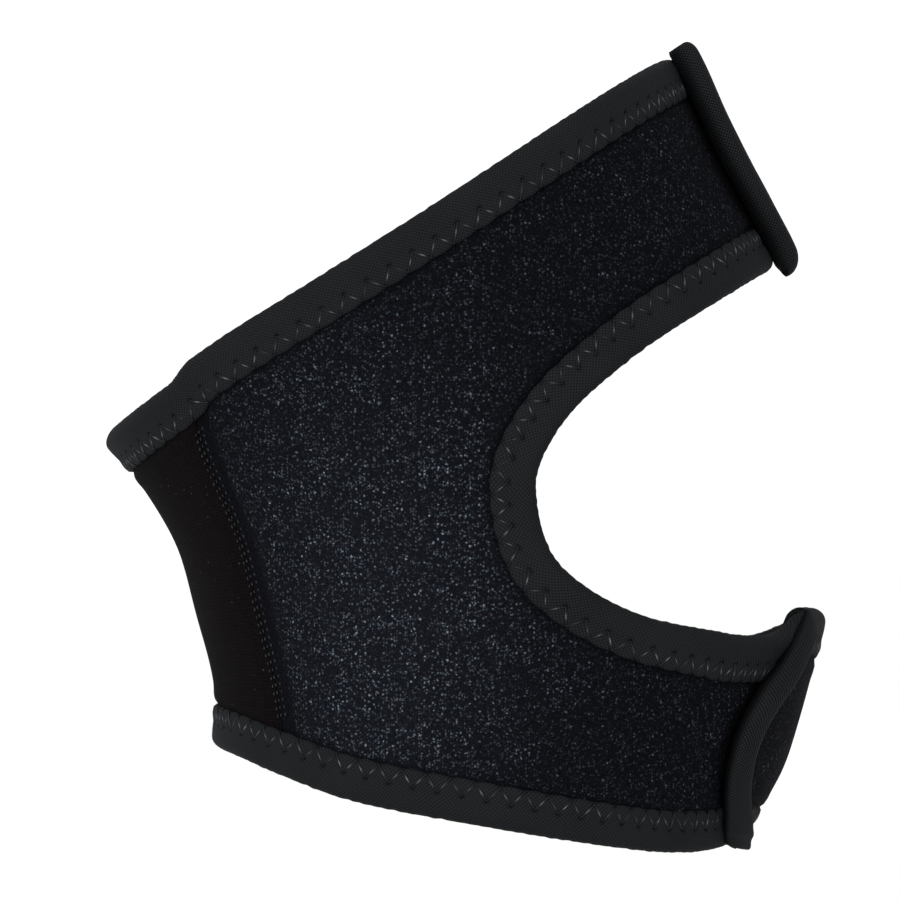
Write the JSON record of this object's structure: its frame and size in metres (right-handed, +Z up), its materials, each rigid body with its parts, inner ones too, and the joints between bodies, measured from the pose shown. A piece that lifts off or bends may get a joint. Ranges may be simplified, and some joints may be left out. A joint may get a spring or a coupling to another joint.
{
  "type": "open patella knee support",
  "caption": "Open-patella knee support: a foam cloth sleeve bent as worn, with two short arms round a C-shaped kneecap opening, bound edges and raised front seams.",
  "frame": {"origin": "centre of the leg at the support's mid section, level with the middle of the kneecap opening", "axes": "+Z up along the leg from shin to thigh, +X to the front of the knee, -Y to the side that faces the camera"},
  "size_m": [0.1363, 0.1258, 0.1535],
  "materials": {
    "loop_cloth": "brushed loop pile",
    "back_cloth": "smooth knit",
    "binding_tape": "woven tape"
  },
  "bodies": {
    "root": {"right_panel": "loop_cloth", "left_panel": "loop_cloth", "back_panel": "back_cloth", "top_binding": "binding_tape", "bottom_binding": "binding_tape", "right_opening_binding": "binding_tape", "left_opening_binding": "binding_tape", "upper_seam_binding": "binding_tape", "lower_seam_binding": "binding_tape"}
  },
  "joints": []
}
